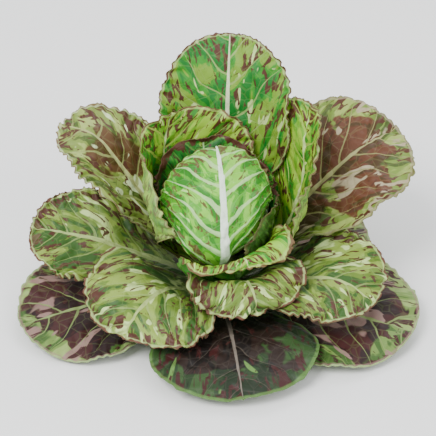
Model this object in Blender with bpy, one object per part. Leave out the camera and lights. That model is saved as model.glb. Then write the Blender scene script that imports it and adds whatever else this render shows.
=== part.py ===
"""A head of speckled butterhead lettuce, standing on its cut stem, as plain closed solids.

Every leaf is one curved sheet with a midrib, grown from a seat on the stem. Leaves are laid from the
ground up and from the outside in, and each one is lifted until it lies clear of those below it.
Lengths are in metres, angles in degrees. +Z is up, the origin is the centre of the stem's cut face, and
azimuth 0 is +X, turning towards +Y.
"""

import math
from dataclasses import dataclass

import bpy
import numpy as np
from mathutils.bvhtree import BVHTree

MM = 0.001

# Driving dimensions: the stem.
STEM_RADIUS = 15 * MM
STEM_TIP_RADIUS = 4 * MM
STEM_HEIGHT = 58 * MM
STEM_SIDES = 24
STEM_RINGS = 8
STEM_CHAMFER = 1 * MM
STEM_CHAMFER_HEIGHT = 1.5 * MM
STEM_CROWN = 2 * MM
STEM_CROWN_SHARE = 0.6

# Driving dimensions: every leaf.
BLADE = 1.1 * MM
RIB_DEPTH = 2.0 * MM
RIB_HALF_WIDTH = 5 * MM
HEART_RIB_SHARE = 0.5
PETIOLE_HALF_WIDTH = 9 * MM
PETIOLE_OF_BLADE = 1 / 3
PETIOLE_OF_FOOT = 0.7
PETIOLE_SHARE = 0.1
STEM_GAP = 0.35 * MM
LEAF_GAP = 0.7 * MM
FLOOR_GAP = 0.1 * MM

# The least a blade bends across, in 1/m, the most it turns from midrib to edge, in radians, and how far
# along the margin the tip starts, as a share.
LEAST_BEND = 0.01
MOST_TURN = 2.5
TIP_START = 0.75

# Driving dimensions: the leaves on the ground, those half way up, the upright ones and the cup round the
# heart.
GROUND_LENGTH = 132 * MM
GROUND_HALF_WIDTH = 56 * MM
SPREAD_LENGTH = 130 * MM
SPREAD_HALF_WIDTH = 48 * MM
UPRIGHT_LENGTH = 166 * MM
UPRIGHT_HALF_WIDTH = 55 * MM
CUP_LENGTH = 95 * MM
CUP_HALF_WIDTH = 70 * MM

# Driving dimensions: the ball of the heart.
HEART_RADIUS = 46 * MM
HEART_DEPTH = 36 * MM
HEART_HEIGHT = 46 * MM
HEART_CENTRE = 68 * MM

# How finely a leaf is drawn: places across it, as shares of its half width, and rows along it.
ACROSS = (-1, -0.75, -0.48, -0.2, 0, 0.2, 0.48, 0.75, 1)
ROWS_BELOW = 6
ROWS_ABOVE = 4
PROFILE_STEPS = 160
LIFT_STEP = 0.5 * MM
LIFT_SPREAD = 1.3
MOST_LIFTS = 90


@dataclass(frozen=True)
class Leaf:
    """One leaf. azimuth is where it points. seat is how high it leaves the stem. pitch is the midrib's
    slope at evenly spaced places from the stem to the tip. widest is where along the leaf it is widest.
    dish is how much the blade cups across, in 1/m, beyond wrapping round the stem's axis. roll tips the
    blade about its midrib, and sweep turns its tip to one side. blunt is 2 for a round tip and more for a
    squarer one. slender above 1 narrows the blade near the stem. ripple is the depth of the waves along
    the margin, waves is their number and phase is where they start. stand is for a leaf that holds the
    heart: how far outside the heart's radius its midrib stands where it is widest."""

    name: str
    azimuth: float
    seat: float
    length: float
    half_width: float
    pitch: tuple
    widest: float = 0.62
    dish: float = 0.0
    roll: float = 0.0
    sweep: float = 0.0
    blunt: float = 2.0
    slender: float = 1.0
    ripple: float = 2 * MM
    waves: float = 3.0
    phase: float = 0.0
    stand: float | None = None


@dataclass(frozen=True)
class HeartLeaf:
    """One leaf of the heart, a patch of a ball that is share times the heart's size. reach is how far
    round the ball its tip lies, with 0 at the bottom and 180 at the top. The rest is as for Leaf."""

    name: str
    azimuth: float
    share: float
    half_width: float
    reach: float
    widest: float = 0.55
    dish: float = 0.0
    roll: float = 0.0
    sweep: float = 0.0
    blunt: float = 2.0
    slender: float = 1.0
    ripple: float = 0.8 * MM
    waves: float = 3.0
    phase: float = 0.0


LEAVES = [
    # The leaves that lie on the ground.
    Leaf("ground_leaf_left", 202, 5.5 * MM, 1.00 * GROUND_LENGTH, 0.98 * GROUND_HALF_WIDTH,
         (12, 6, 2, -4, -8), roll=-6, waves=2, phase=1),
    Leaf("ground_leaf_right", -26, 5.5 * MM, 1.01 * GROUND_LENGTH, 1.04 * GROUND_HALF_WIDTH,
         (12, 6, 2, -2, -8), roll=6, waves=2, phase=2),
    Leaf("ground_leaf_back_right", 38, 7 * MM, 0.86 * GROUND_LENGTH, 0.90 * GROUND_HALF_WIDTH,
         (16, 9, 4, -2, -10), waves=2, phase=3),
    Leaf("ground_leaf_back_left", 142, 7 * MM, 0.90 * GROUND_LENGTH, 0.94 * GROUND_HALF_WIDTH,
         (16, 9, 4, -2, -10), waves=2, phase=4),
    Leaf("ground_leaf_front", -83, 7.5 * MM, 0.91 * GROUND_LENGTH, 1.02 * GROUND_HALF_WIDTH,
         (14, 8, 2, -6, -16), roll=2, waves=2),
    Leaf("ground_leaf_back", 90, 8.5 * MM, 0.94 * GROUND_LENGTH, 0.98 * GROUND_HALF_WIDTH,
         (17, 10, 4, -4, -12), waves=2, phase=5),
    # The leaves that spread half way up.
    Leaf("spread_leaf_left", 172, 10.5 * MM, 0.97 * SPREAD_LENGTH, 0.82 * SPREAD_HALF_WIDTH,
         (22, 20, 16, 10, 0), roll=-24, dish=4, widest=0.66),
    Leaf("spread_leaf_right", -28, 10.5 * MM, 0.88 * SPREAD_LENGTH, 0.96 * SPREAD_HALF_WIDTH,
         (24, 27, 18, 2, -40), roll=10, dish=4, slender=0.8),
    Leaf("spread_leaf_front_left", -126, 11.5 * MM, 0.80 * SPREAD_LENGTH, 1.00 * SPREAD_HALF_WIDTH,
         (26, 32, 20, -14, -55), roll=-12, blunt=2.4, slender=0.8, ripple=3 * MM, waves=4),
    Leaf("spread_leaf_far_right", 66, 12 * MM, 1.02 * SPREAD_LENGTH, 0.92 * SPREAD_HALF_WIDTH,
         (26, 40, 36, 24, 0), roll=-4),
    Leaf("spread_leaf_back_right", 25, 13 * MM, 1.21 * SPREAD_LENGTH, 1.18 * SPREAD_HALF_WIDTH,
         (28, 46, 42, 30, 10), roll=14, blunt=2.4),
    Leaf("spread_leaf_far_left", 112, 15 * MM, 0.86 * SPREAD_LENGTH, 0.92 * SPREAD_HALF_WIDTH,
         (28, 46, 46, 34, 4)),
    Leaf("spread_leaf_front", -71, 17 * MM, 0.65 * SPREAD_LENGTH, 0.86 * SPREAD_HALF_WIDTH,
         (24, 32, 46, 32, -30, -80), blunt=2.4, ripple=3 * MM, waves=4),
    Leaf("spread_leaf_back_left", 157, 16 * MM, 1.16 * SPREAD_LENGTH, 0.82 * SPREAD_HALF_WIDTH,
         (30, 56, 56, 42, -20), roll=-12, slender=1.6),
    # The upright leaves, and the cup round the heart.
    Leaf("upright_leaf_back", 84, 18 * MM, 1.00 * UPRIGHT_LENGTH, 0.95 * UPRIGHT_HALF_WIDTH,
         (32, 62, 78, 74, 64), blunt=2.1, stand=15.3 * MM),
    Leaf("upright_leaf_back_right", 9, 20 * MM, 0.81 * UPRIGHT_LENGTH, 0.94 * UPRIGHT_HALF_WIDTH,
         (28, 44, 76, 82, 66), sweep=22, widest=0.56, stand=13.9 * MM),
    Leaf("upright_leaf_left", 154, 22 * MM, 0.70 * UPRIGHT_LENGTH, 1.38 * UPRIGHT_HALF_WIDTH,
         (28, 48, 82, 89, 84), sweep=-26, widest=0.54, blunt=2.3, stand=3.5 * MM),
    Leaf("upright_leaf_front", -70, 21 * MM, 0.41 * UPRIGHT_LENGTH, 0.80 * UPRIGHT_HALF_WIDTH,
         (24, 32, 48, 72, 46, -60), roll=8, blunt=2.4, slender=0.8, stand=-2.3 * MM),
    Leaf("cup_leaf_back", 104, 25 * MM, 1.00 * CUP_LENGTH, 1.00 * CUP_HALF_WIDTH,
         (26, 38, 78, 94, 99), widest=0.5, blunt=2.3, slender=1.5, stand=-0.1 * MM),
    Leaf("cup_leaf_right", -6, 28.5 * MM, 0.70 * CUP_LENGTH, 0.58 * CUP_HALF_WIDTH,
         (22, 30, 68, 90, 96), widest=0.6, blunt=2.3, stand=-5.6 * MM),
]

HEART = [
    HeartLeaf("heart_leaf_front", -84, 1.00, 54 * MM, 196, blunt=2.3),
    HeartLeaf("heart_leaf_right", -14, 0.97, 48 * MM, 172),
    HeartLeaf("heart_leaf_back", 95, 0.91, 46 * MM, 172),
    HeartLeaf("heart_leaf_left", 175, 0.87, 44 * MM, 170),
    HeartLeaf("inner_leaf_front", -60, 0.78, 37 * MM, 176),
    HeartLeaf("inner_leaf_left", 150, 0.70, 32 * MM, 168),
    HeartLeaf("inner_leaf_right", 30, 0.62, 28 * MM, 165),
    HeartLeaf("bud_leaf_front", -100, 0.48, 22 * MM, 160),
    HeartLeaf("bud_leaf_back", 80, 0.38, 18 * MM, 155),
]


def stem_radius(height):
    """The stem is round and slims towards its top."""
    share = np.clip(height / STEM_HEIGHT, 0, 1)
    return STEM_RADIUS - (STEM_RADIUS - STEM_TIP_RADIUS) * share**2


def smooth(x):
    """A soft step: 0 up to 0, then rising to 1 at 1."""
    x = np.clip(x, 0, 1)
    return x * x * (3 - 2 * x)


def leaf_profile(leaf):
    """The midrib in its upright plane: length along it, distance out, height, slope in radians, and how
    much the blade bends across to wrap round the upright axis, in 1/m."""
    if isinstance(leaf, HeartLeaf):
        turn = np.radians(np.linspace(1, leaf.reach, 4 * PROFILE_STEPS))
        half_height = np.where(np.cos(turn) > 0, HEART_DEPTH, HEART_HEIGHT)
        out = HEART_RADIUS * leaf.share * np.sin(turn)
        up = HEART_CENTRE - half_height * leaf.share * np.cos(turn)
        slope = np.unwrap(np.arctan2(half_height * np.sin(turn), HEART_RADIUS * np.cos(turn)))
        wrap = half_height / np.hypot(half_height * np.sin(turn), HEART_RADIUS * np.cos(turn))
        wrap = wrap / (HEART_RADIUS * leaf.share)
        touching = (out < stem_radius(up - RIB_DEPTH) + STEM_GAP) & (up < HEART_CENTRE)
        first = len(touching) - int(np.argmax(touching[::-1])) if touching.any() else 0
        out, up, slope, wrap = out[first:], up[first:], slope[first:], wrap[first:]
        along = np.concatenate([[0], np.cumsum(np.hypot(np.diff(out), np.diff(up)))])
        return along, out, up, slope, wrap
    along = np.linspace(0, leaf.length, PROFILE_STEPS)
    share = along / leaf.length
    slope = np.radians(np.interp(share, np.linspace(0, 1, len(leaf.pitch)), leaf.pitch))
    foot = stem_radius(leaf.seat) + STEM_GAP
    sideways = np.cos(slope) * along[1]
    upward = np.sin(slope) * along[1]
    if leaf.stand is not None:
        widest = round(leaf.widest * (PROFILE_STEPS - 1))
        sideways = sideways * (HEART_RADIUS + leaf.stand - foot) / sideways[:widest].sum()
        slope = np.unwrap(np.arctan2(upward, sideways))
        along = np.concatenate([[0], np.cumsum(np.hypot(sideways, upward)[:-1])])
    out = foot + np.concatenate([[0], np.cumsum(sideways[:-1])])
    up = leaf.seat + np.concatenate([[0], np.cumsum(upward[:-1])])
    return along, out, up, slope, np.sin(slope) / out


def flat_outline(leaf, length, base, across, row):
    """A place on the flat leaf, in metres from the midrib and from the stem, and the leaf's half width
    there. across runs from -1 to 1. row runs from -1 at the stem to 0 where the leaf is widest, and to 1
    at its tip. base is how far the leaf's foot is from the stem's axis."""
    widest = leaf.widest * length
    below = below_share(row)
    petiole = min(PETIOLE_HALF_WIDTH, leaf.half_width * PETIOLE_OF_BLADE, PETIOLE_OF_FOOT * base)
    widening = smooth((below - PETIOLE_SHARE) / (1 - PETIOLE_SHARE)) ** leaf.slender
    half_width = petiole + (leaf.half_width - petiole) * widening
    above = np.clip(row, 0, 1)
    sideways = across * np.sqrt(1 - above**2 / 2)
    forward = above * np.sqrt(1 - across**2 / 2)
    squarer = (np.abs(sideways) ** leaf.blunt + forward**leaf.blunt) ** (1 / leaf.blunt)
    squarer = np.hypot(sideways, forward) / np.maximum(squarer, 1e-9)
    squarer = np.where(above > 0, squarer, 1)
    forward = below * widest + forward * squarer * (length - widest)
    return sideways * squarer * half_width, forward, half_width


def leaf_sheet(leaf, across, row):
    """Points on the middle of the leaf, how far each is from the midrib, and its share of the length."""
    along, out, up, slope, wrap = leaf_profile(leaf)
    length = along[-1]
    base = out[0]
    x, y, half_width = flat_outline(leaf, length, base, across, row)
    foot = base / math.cos(slope[0])
    y = y - (foot - np.sqrt(np.maximum(foot**2 - x**2, 0))) * np.clip(1 - y / (2 * base), 0, 1)
    share = np.clip(y / length, 0, 1)
    lead = np.minimum(y, 0)
    r = np.interp(y, along, out) + lead * math.cos(slope[0])
    z = np.interp(y, along, up) + lead * math.sin(slope[0])
    pitch = np.interp(y, along, slope)
    bend = np.interp(y, along, wrap) + leaf.dish * smooth(share * 2)
    bend = np.where(np.abs(bend) < LEAST_BEND, LEAST_BEND, bend)
    bend = np.clip(bend, -MOST_TURN / half_width, MOST_TURN / half_width)
    turn = np.radians(leaf.azimuth + leaf.sweep * share**2)
    zero = np.zeros_like(r)
    outward = np.stack([np.cos(turn), np.sin(turn), zero], -1)
    side = np.stack([-np.sin(turn), np.cos(turn), zero], -1)
    face = -np.sin(pitch)[..., None] * outward + np.array([0, 0, 1]) * np.cos(pitch)[..., None]
    roll = np.radians(leaf.roll * smooth(share * 1.6))[..., None]
    side, face = side * np.cos(roll) + face * np.sin(roll), face * np.cos(roll) - side * np.sin(roll)
    sideways = (np.sin(bend * x) / bend)[..., None]
    rise = ((1 - np.cos(bend * x)) / bend)[..., None]
    points = outward * r[..., None] + np.array([0, 0, 1]) * z[..., None] + side * sideways + face * rise
    normal = face * np.cos(bend * x)[..., None] - side * np.sin(bend * x)[..., None]
    edge = np.maximum(np.abs(across), np.clip(row, 0, 1))
    wave = leaf.ripple * edge**3 * smooth(below_share(row) * 2 - 0.6)
    wave = wave * np.sin(2 * math.pi * leaf.waves * margin_place(across, row) + leaf.phase + across)
    points = points + normal * wave[..., None]
    lowest = FLOOR_GAP + BLADE / 2 + rib_depth(leaf, x, share)
    points[..., 2] = np.maximum(points[..., 2], lowest)
    return points, x, share


def sheet_normals(points):
    """The way the upper face looks at each grid point: the mean over the quads that meet there."""
    quads = np.cross(points[1:, :-1] - points[:-1, 1:], points[1:, 1:] - points[:-1, :-1])
    normals = np.zeros_like(points)
    for rows in (slice(0, -1), slice(1, None)):
        for columns in (slice(0, -1), slice(1, None)):
            normals[rows, columns] += quads
    return normals / np.linalg.norm(normals, axis=-1, keepdims=True)


def below_share(row):
    """How far up the lower part of the leaf a row is: 0 at the stem, 1 from the widest row on."""
    return np.clip(row + 1, 0, 1)


def margin_place(across, row):
    """How far along the margin the nearest place on it is, from 0 at the stem to 1 at the tip."""
    return TIP_START * (row + 1) / 2 + (1 - TIP_START) * (1 - np.abs(across))


def rib_depth(leaf, x, share):
    """How far the midrib stands out under the blade."""
    depth = RIB_DEPTH * (1 - smooth(share * 1.1)) * (1 if isinstance(leaf, Leaf) else HEART_RIB_SHARE)
    width = RIB_HALF_WIDTH * (1.2 - 0.8 * share)
    return depth * np.exp(-((x / width) ** 2))


def lift_heading(points, share):
    """The way a leaf is lifted: straight up at its foot, and along its upper face's normal further out."""
    free = smooth(3 * share - 0.2)[..., None]
    return sheet_normals(points) * free + np.array([0, 0, 1]) * (1 - free)


def leaf_skin(leaf, lift, extra=0.0):
    """The corners of the leaf's closed skin: the upper face and then the lower one, row by row."""
    across, row = leaf_grid()
    points, x, share = leaf_sheet(leaf, across, row)
    points = points + lift[..., None] * lift_heading(points, share)
    normal = sheet_normals(points)
    upper = points + normal * (BLADE / 2 + extra / 2)
    lower = points - normal * (BLADE / 2 + extra + rib_depth(leaf, x, share))[..., None]
    return np.concatenate([upper.reshape(-1, 3), lower.reshape(-1, 3)])


def leaf_grid():
    """The places a leaf is drawn at: across and row, as in flat_outline."""
    rows = np.concatenate([np.linspace(-1, 0, ROWS_BELOW + 1), np.linspace(0, 1, ROWS_ABOVE + 1)[1:]])
    return np.meshgrid(np.array(ACROSS, float), rows)


def leaf_faces():
    """The faces of a leaf's skin: both sides, and a strip round the edge. The quads are halved so that the
    corners of the tip, where a quad is nearly a triangle, don't fold."""
    rows, columns = ROWS_BELOW + ROWS_ABOVE + 1, len(ACROSS)
    under = rows * columns
    faces = []
    for i in range(rows - 1):
        for j in range(columns - 1):
            a = i * columns + j
            b = a + 1
            c = b + columns
            d = a + columns
            mirrored = i >= ROWS_BELOW and j < columns // 2
            halves = [(a, d, b), (b, d, c)] if mirrored else [(a, d, c), (a, c, b)]
            faces += halves
            faces += [(k + under, m + under, l + under) for k, l, m in halves]
    edge = list(range(columns))
    edge += [i * columns + columns - 1 for i in range(1, rows)]
    edge += [(rows - 1) * columns + j for j in range(columns - 2, -1, -1)]
    edge += [i * columns for i in range(rows - 2, 0, -1)]
    for a, b in zip(edge, edge[1:] + edge[:1]):
        faces += [(a, b, b + under), (a, b + under, a + under)]
    return faces


def lifted_clear(leaf, laid):
    """How far each grid point of the leaf is lifted, so that it lies clear of the skins already laid."""
    columns = len(ACROSS)
    rows = ROWS_BELOW + ROWS_ABOVE + 1
    lift = np.zeros((rows, columns))
    places = np.stack(np.meshgrid(np.arange(columns), np.arange(rows)), -1).reshape(-1, 2)
    faces = leaf_faces()
    count = 0
    for count in range(MOST_LIFTS):
        skin = BVHTree.FromPolygons(leaf_skin(leaf, lift, LEAF_GAP).tolist(), faces)
        hits = {pair[0] for other in laid for pair in skin.overlap(other)}
        if not hits:
            break
        touched = places[sorted({corner % (rows * columns) for face in hits for corner in faces[face]})]
        apart = ((places[:, None, :] - touched[None, :, :]) ** 2).sum(-1)
        lift += LIFT_STEP * np.exp(-apart / (2 * LIFT_SPREAD**2)).max(1).reshape(rows, columns)
    print(f"{leaf.name}: {count} lifts, at most {lift.max() / MM:.1f} mm")
    return lift


def material(name, colour, roughness):
    """One plain finish, made once."""
    made = bpy.data.materials.get(name)
    if made is None:
        made = bpy.data.materials.new(name)
        made.use_nodes = True
        shader = made.node_tree.nodes["Principled BSDF"]
        shader.inputs["Base Color"].default_value = (*colour, 1)
        shader.inputs["Roughness"].default_value = roughness
        shader.inputs["Metallic"].default_value = 0
    return made


def add_object(name, corners, faces, finish):
    """One named closed solid."""
    mesh = bpy.data.meshes.new(name)
    mesh.from_pydata([tuple(c) for c in corners], [], faces)
    mesh.materials.append(finish)
    mesh.validate()
    made = bpy.data.objects.new(name, mesh)
    bpy.context.scene.collection.objects.link(made)
    mesh.shade_smooth()
    mesh.set_sharp_from_angle(angle=math.radians(50))
    return made


def add_stem():
    """The stem: a turned solid that stands on its flat cut face."""
    rings = np.linspace(STEM_CHAMFER_HEIGHT, STEM_HEIGHT - STEM_CROWN, STEM_RINGS)
    heights = np.concatenate([[0], rings, [STEM_HEIGHT]])
    radii = stem_radius(heights)
    radii[0] -= STEM_CHAMFER
    radii[-1] *= STEM_CROWN_SHARE
    turn = np.linspace(0, 2 * math.pi, STEM_SIDES, endpoint=False)
    corners = [(r * math.cos(a), r * math.sin(a), z) for r, z in zip(radii, heights) for a in turn]
    faces = []
    for i in range(len(heights) - 1):
        for j in range(STEM_SIDES):
            k = (j + 1) % STEM_SIDES
            low, high = i * STEM_SIDES, (i + 1) * STEM_SIDES
            faces.append((low + j, low + k, high + k, high + j))
    faces.append(tuple(reversed(range(STEM_SIDES))))
    faces.append(tuple(range((len(heights) - 1) * STEM_SIDES, len(heights) * STEM_SIDES)))
    return add_object("stem", corners, faces, material("stem", (0.80, 0.82, 0.62), 0.5))


def leaf_finish(leaf):
    """The finish of a leaf, by where on the head it grows."""
    if isinstance(leaf, HeartLeaf):
        return material("heart_leaf", (0.42, 0.60, 0.22), 0.45)
    if leaf.name.startswith("ground"):
        return material("ground_leaf", (0.14, 0.06, 0.05), 0.45)
    if leaf.name.startswith("spread"):
        return material("spread_leaf", (0.36, 0.42, 0.16), 0.45)
    return material("upright_leaf", (0.16, 0.40, 0.08), 0.45)


def main():
    """Lays the stem and then every leaf, each clear of those before it."""
    for old in list(bpy.data.objects):
        bpy.data.objects.remove(old, do_unlink=True)
    add_stem()
    faces = leaf_faces()
    laid = []
    for leaf in LEAVES + HEART:
        corners = leaf_skin(leaf, lifted_clear(leaf, laid))
        laid.append(BVHTree.FromPolygons(corners.tolist(), faces))
        add_object(leaf.name, corners, faces, leaf_finish(leaf))


main()
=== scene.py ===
"""The looks of a head of speckled butterhead lettuce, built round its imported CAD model.

Each leaf of the frame is grown again from the same midrib and outline, but finely: with a scalloped and
ruffled margin, blisters between its side veins, a raised midrib and a thin blade. Lengths are in metres,
angles in degrees. +Z is up and azimuth 0 is +X, turning towards +Y.
"""

import itertools
import math
from dataclasses import dataclass

import bpy
import numpy as np
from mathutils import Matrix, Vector
from mathutils.bvhtree import BVHTree

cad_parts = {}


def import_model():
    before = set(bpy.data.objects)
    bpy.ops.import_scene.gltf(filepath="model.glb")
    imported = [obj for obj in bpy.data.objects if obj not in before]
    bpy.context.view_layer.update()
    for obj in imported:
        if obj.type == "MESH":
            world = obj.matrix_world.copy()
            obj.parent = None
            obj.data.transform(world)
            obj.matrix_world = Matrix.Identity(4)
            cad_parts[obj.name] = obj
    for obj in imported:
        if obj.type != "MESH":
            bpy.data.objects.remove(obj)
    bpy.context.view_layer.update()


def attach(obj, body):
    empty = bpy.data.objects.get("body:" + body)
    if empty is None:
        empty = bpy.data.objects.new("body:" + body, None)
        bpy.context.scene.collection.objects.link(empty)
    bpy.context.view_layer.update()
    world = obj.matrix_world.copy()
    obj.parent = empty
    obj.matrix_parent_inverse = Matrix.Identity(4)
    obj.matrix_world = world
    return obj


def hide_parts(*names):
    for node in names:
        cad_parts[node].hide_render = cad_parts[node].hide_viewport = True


MM = 0.001

# Driving dimensions: the stem.
STEM_RADIUS = 15 * MM
STEM_TIP_RADIUS = 4 * MM
STEM_HEIGHT = 58 * MM
STEM_CHAMFER = 1 * MM
STEM_CHAMFER_HEIGHT = 1.5 * MM
STEM_CROWN = 2 * MM
STEM_CROWN_SHARE = 0.6

# Driving dimensions: every leaf.
BLADE = 1.1 * MM
RIB_DEPTH = 2.0 * MM
RIB_HALF_WIDTH = 5 * MM
HEART_RIB_SHARE = 0.5
PETIOLE_HALF_WIDTH = 9 * MM
PETIOLE_OF_BLADE = 1 / 3
PETIOLE_OF_FOOT = 0.7
PETIOLE_SHARE = 0.1
STEM_GAP = 0.35 * MM
LEAF_GAP = 0.7 * MM
FLOOR_GAP = 0.1 * MM

# The least a blade bends across, in 1/m, the most it turns from midrib to edge, in radians, and how far
# along the margin the tip starts, as a share.
LEAST_BEND = 0.01
MOST_TURN = 2.5
TIP_START = 0.75

# Driving dimensions: the leaves on the ground, those half way up, the upright ones and the cup round the
# heart.
GROUND_LENGTH = 132 * MM
GROUND_HALF_WIDTH = 56 * MM
SPREAD_LENGTH = 130 * MM
SPREAD_HALF_WIDTH = 48 * MM
UPRIGHT_LENGTH = 166 * MM
UPRIGHT_HALF_WIDTH = 55 * MM
CUP_LENGTH = 95 * MM
CUP_HALF_WIDTH = 70 * MM

# Driving dimensions: the ball of the heart.
HEART_RADIUS = 46 * MM
HEART_DEPTH = 36 * MM
HEART_HEIGHT = 46 * MM
HEART_CENTRE = 68 * MM

# How finely a leaf is drawn: places across it, as shares of its half width, and rows along it.
ACROSS = (-1, -0.75, -0.48, -0.2, 0, 0.2, 0.48, 0.75, 1)
ROWS_BELOW = 6
ROWS_ABOVE = 4
PROFILE_STEPS = 160
LIFT_STEP = 0.5 * MM
LIFT_SPREAD = 1.3
MOST_LIFTS = 90


@dataclass(frozen=True)
class Leaf:
    """One leaf. azimuth is where it points. seat is how high it leaves the stem. pitch is the midrib's
    slope at evenly spaced places from the stem to the tip. widest is where along the leaf it is widest.
    dish is how much the blade cups across, in 1/m, beyond wrapping round the stem's axis. roll tips the
    blade about its midrib, and sweep turns its tip to one side. blunt is 2 for a round tip and more for a
    squarer one. slender above 1 narrows the blade near the stem. ripple is the depth of the waves along
    the margin, waves is their number and phase is where they start. stand is for a leaf that holds the
    heart: how far outside the heart's radius its midrib stands where it is widest."""

    name: str
    azimuth: float
    seat: float
    length: float
    half_width: float
    pitch: tuple
    widest: float = 0.62
    dish: float = 0.0
    roll: float = 0.0
    sweep: float = 0.0
    blunt: float = 2.0
    slender: float = 1.0
    ripple: float = 2 * MM
    waves: float = 3.0
    phase: float = 0.0
    stand: float | None = None


@dataclass(frozen=True)
class HeartLeaf:
    """One leaf of the heart, a patch of a ball that is share times the heart's size. reach is how far
    round the ball its tip lies, with 0 at the bottom and 180 at the top. The rest is as for Leaf."""

    name: str
    azimuth: float
    share: float
    half_width: float
    reach: float
    widest: float = 0.55
    dish: float = 0.0
    roll: float = 0.0
    sweep: float = 0.0
    blunt: float = 2.0
    slender: float = 1.0
    ripple: float = 0.8 * MM
    waves: float = 3.0
    phase: float = 0.0


LEAVES = [
    # The leaves that lie on the ground.
    Leaf("ground_leaf_left", 202, 5.5 * MM, 1.00 * GROUND_LENGTH, 0.98 * GROUND_HALF_WIDTH,
         (12, 6, 2, -4, -8), roll=-6, waves=2, phase=1),
    Leaf("ground_leaf_right", -26, 5.5 * MM, 1.01 * GROUND_LENGTH, 1.04 * GROUND_HALF_WIDTH,
         (12, 6, 2, -2, -8), roll=6, waves=2, phase=2),
    Leaf("ground_leaf_back_right", 38, 7 * MM, 0.86 * GROUND_LENGTH, 0.90 * GROUND_HALF_WIDTH,
         (16, 9, 4, -2, -10), waves=2, phase=3),
    Leaf("ground_leaf_back_left", 142, 7 * MM, 0.90 * GROUND_LENGTH, 0.94 * GROUND_HALF_WIDTH,
         (16, 9, 4, -2, -10), waves=2, phase=4),
    Leaf("ground_leaf_front", -83, 7.5 * MM, 0.91 * GROUND_LENGTH, 1.02 * GROUND_HALF_WIDTH,
         (14, 8, 2, -6, -16), roll=2, waves=2),
    Leaf("ground_leaf_back", 90, 8.5 * MM, 0.94 * GROUND_LENGTH, 0.98 * GROUND_HALF_WIDTH,
         (17, 10, 4, -4, -12), waves=2, phase=5),
    # The leaves that spread half way up.
    Leaf("spread_leaf_left", 172, 10.5 * MM, 0.97 * SPREAD_LENGTH, 0.82 * SPREAD_HALF_WIDTH,
         (22, 20, 16, 10, 0), roll=-24, dish=4, widest=0.66),
    Leaf("spread_leaf_right", -28, 10.5 * MM, 0.88 * SPREAD_LENGTH, 0.96 * SPREAD_HALF_WIDTH,
         (24, 27, 18, 2, -40), roll=10, dish=4, slender=0.8),
    Leaf("spread_leaf_front_left", -126, 11.5 * MM, 0.80 * SPREAD_LENGTH, 1.00 * SPREAD_HALF_WIDTH,
         (26, 32, 20, -14, -55), roll=-12, blunt=2.4, slender=0.8, ripple=3 * MM, waves=4),
    Leaf("spread_leaf_far_right", 66, 12 * MM, 1.02 * SPREAD_LENGTH, 0.92 * SPREAD_HALF_WIDTH,
         (26, 40, 36, 24, 0), roll=-4),
    Leaf("spread_leaf_back_right", 25, 13 * MM, 1.21 * SPREAD_LENGTH, 1.18 * SPREAD_HALF_WIDTH,
         (28, 46, 42, 30, 10), roll=14, blunt=2.4),
    Leaf("spread_leaf_far_left", 112, 15 * MM, 0.86 * SPREAD_LENGTH, 0.92 * SPREAD_HALF_WIDTH,
         (28, 46, 46, 34, 4)),
    Leaf("spread_leaf_front", -71, 17 * MM, 0.65 * SPREAD_LENGTH, 0.86 * SPREAD_HALF_WIDTH,
         (24, 32, 46, 32, -30, -80), blunt=2.4, ripple=3 * MM, waves=4),
    Leaf("spread_leaf_back_left", 157, 16 * MM, 1.16 * SPREAD_LENGTH, 0.82 * SPREAD_HALF_WIDTH,
         (30, 56, 56, 42, -20), roll=-12, slender=1.6),
    # The upright leaves, and the cup round the heart.
    Leaf("upright_leaf_back", 84, 18 * MM, 1.00 * UPRIGHT_LENGTH, 0.95 * UPRIGHT_HALF_WIDTH,
         (32, 62, 78, 74, 64), blunt=2.1, stand=15.3 * MM),
    Leaf("upright_leaf_back_right", 9, 20 * MM, 0.81 * UPRIGHT_LENGTH, 0.94 * UPRIGHT_HALF_WIDTH,
         (28, 44, 76, 82, 66), sweep=22, widest=0.56, stand=13.9 * MM),
    Leaf("upright_leaf_left", 154, 22 * MM, 0.70 * UPRIGHT_LENGTH, 1.38 * UPRIGHT_HALF_WIDTH,
         (28, 48, 82, 89, 84), sweep=-26, widest=0.54, blunt=2.3, stand=3.5 * MM),
    Leaf("upright_leaf_front", -70, 21 * MM, 0.41 * UPRIGHT_LENGTH, 0.80 * UPRIGHT_HALF_WIDTH,
         (24, 32, 48, 72, 46, -60), roll=8, blunt=2.4, slender=0.8, stand=-2.3 * MM),
    Leaf("cup_leaf_back", 104, 25 * MM, 1.00 * CUP_LENGTH, 1.00 * CUP_HALF_WIDTH,
         (26, 38, 78, 94, 99), widest=0.5, blunt=2.3, slender=1.5, stand=-0.1 * MM),
    Leaf("cup_leaf_right", -6, 28.5 * MM, 0.70 * CUP_LENGTH, 0.58 * CUP_HALF_WIDTH,
         (22, 30, 68, 90, 96), widest=0.6, blunt=2.3, stand=-5.6 * MM),
]

HEART = [
    HeartLeaf("heart_leaf_front", -84, 1.00, 54 * MM, 196, blunt=2.3),
    HeartLeaf("heart_leaf_right", -14, 0.97, 48 * MM, 172),
    HeartLeaf("heart_leaf_back", 95, 0.91, 46 * MM, 172),
    HeartLeaf("heart_leaf_left", 175, 0.87, 44 * MM, 170),
    HeartLeaf("inner_leaf_front", -60, 0.78, 37 * MM, 176),
    HeartLeaf("inner_leaf_left", 150, 0.70, 32 * MM, 168),
    HeartLeaf("inner_leaf_right", 30, 0.62, 28 * MM, 165),
    HeartLeaf("bud_leaf_front", -100, 0.48, 22 * MM, 160),
    HeartLeaf("bud_leaf_back", 80, 0.38, 18 * MM, 155),
]


def stem_radius(height):
    """The stem is round and slims towards its top."""
    share = np.clip(height / STEM_HEIGHT, 0, 1)
    return STEM_RADIUS - (STEM_RADIUS - STEM_TIP_RADIUS) * share**2


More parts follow.
